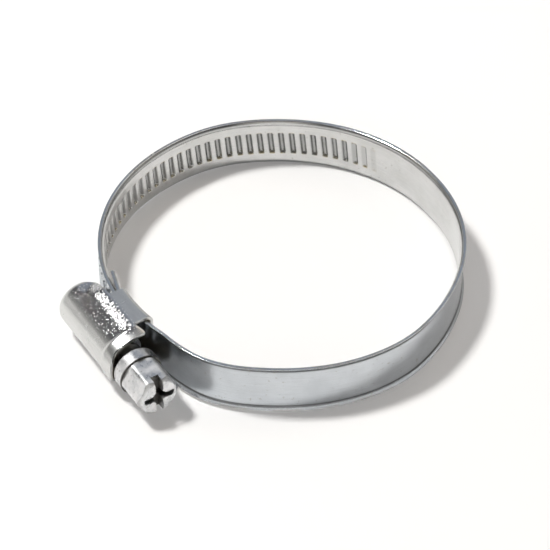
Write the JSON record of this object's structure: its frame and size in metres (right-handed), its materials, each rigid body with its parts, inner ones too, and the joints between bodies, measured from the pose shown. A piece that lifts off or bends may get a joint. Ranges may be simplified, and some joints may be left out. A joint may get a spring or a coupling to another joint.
{
  "type": "hose clamp",
  "caption": "Worm-drive hose clamp: a ribbed steel band looped through a pressed housing, tightened by a hexagon-headed worm screw.",
  "frame": {"origin": "centre of the clamped hose, midway across the band", "axes": "+Z along the hose, +X along the screw towards its head, the screw housing on the -Y side"},
  "size_m": [0.0648, 0.0715, 0.0112],
  "materials": {
    "band": "bright zinc plate, satin",
    "housing": "bright zinc plate, scuffed",
    "screw": "bright zinc plate"
  },
  "bodies": {
    "housing": {"screw_housing": "housing", "band_fixed_end": "band"},
    "band_back": {"band_back": "band"},
    "band_threaded_end": {"band_threaded_end": "band"},
    "screw": {"worm_screw": "screw"}
  },
  "joints": [
    {"name": "screw_turn", "type": "hinge", "parent": "housing", "child": "screw", "pos_m": [0, -0.03553, 0], "axis": [-1, 0, 0], "range_deg": [0, 1440]},
    {"name": "band_flex_front", "type": "hinge", "parent": "housing", "child": "band_back", "pos_m": [0.0313, 0, 0], "axis": [0, 0, 1], "range_deg": [0, 7.64]},
    {"name": "band_flex_back", "type": "hinge", "parent": "band_back", "child": "band_threaded_end", "pos_m": [-0.0313, 0, 0], "axis": [0, 0, 1], "range_deg": [0, 7.64]}
  ],
  "couplings": [
    {"joint": "band_flex_front", "follows": "screw_turn", "ratio": 0.0052694},
    {"joint": "band_flex_back", "follows": "screw_turn", "ratio": 0.0052694}
  ]
}
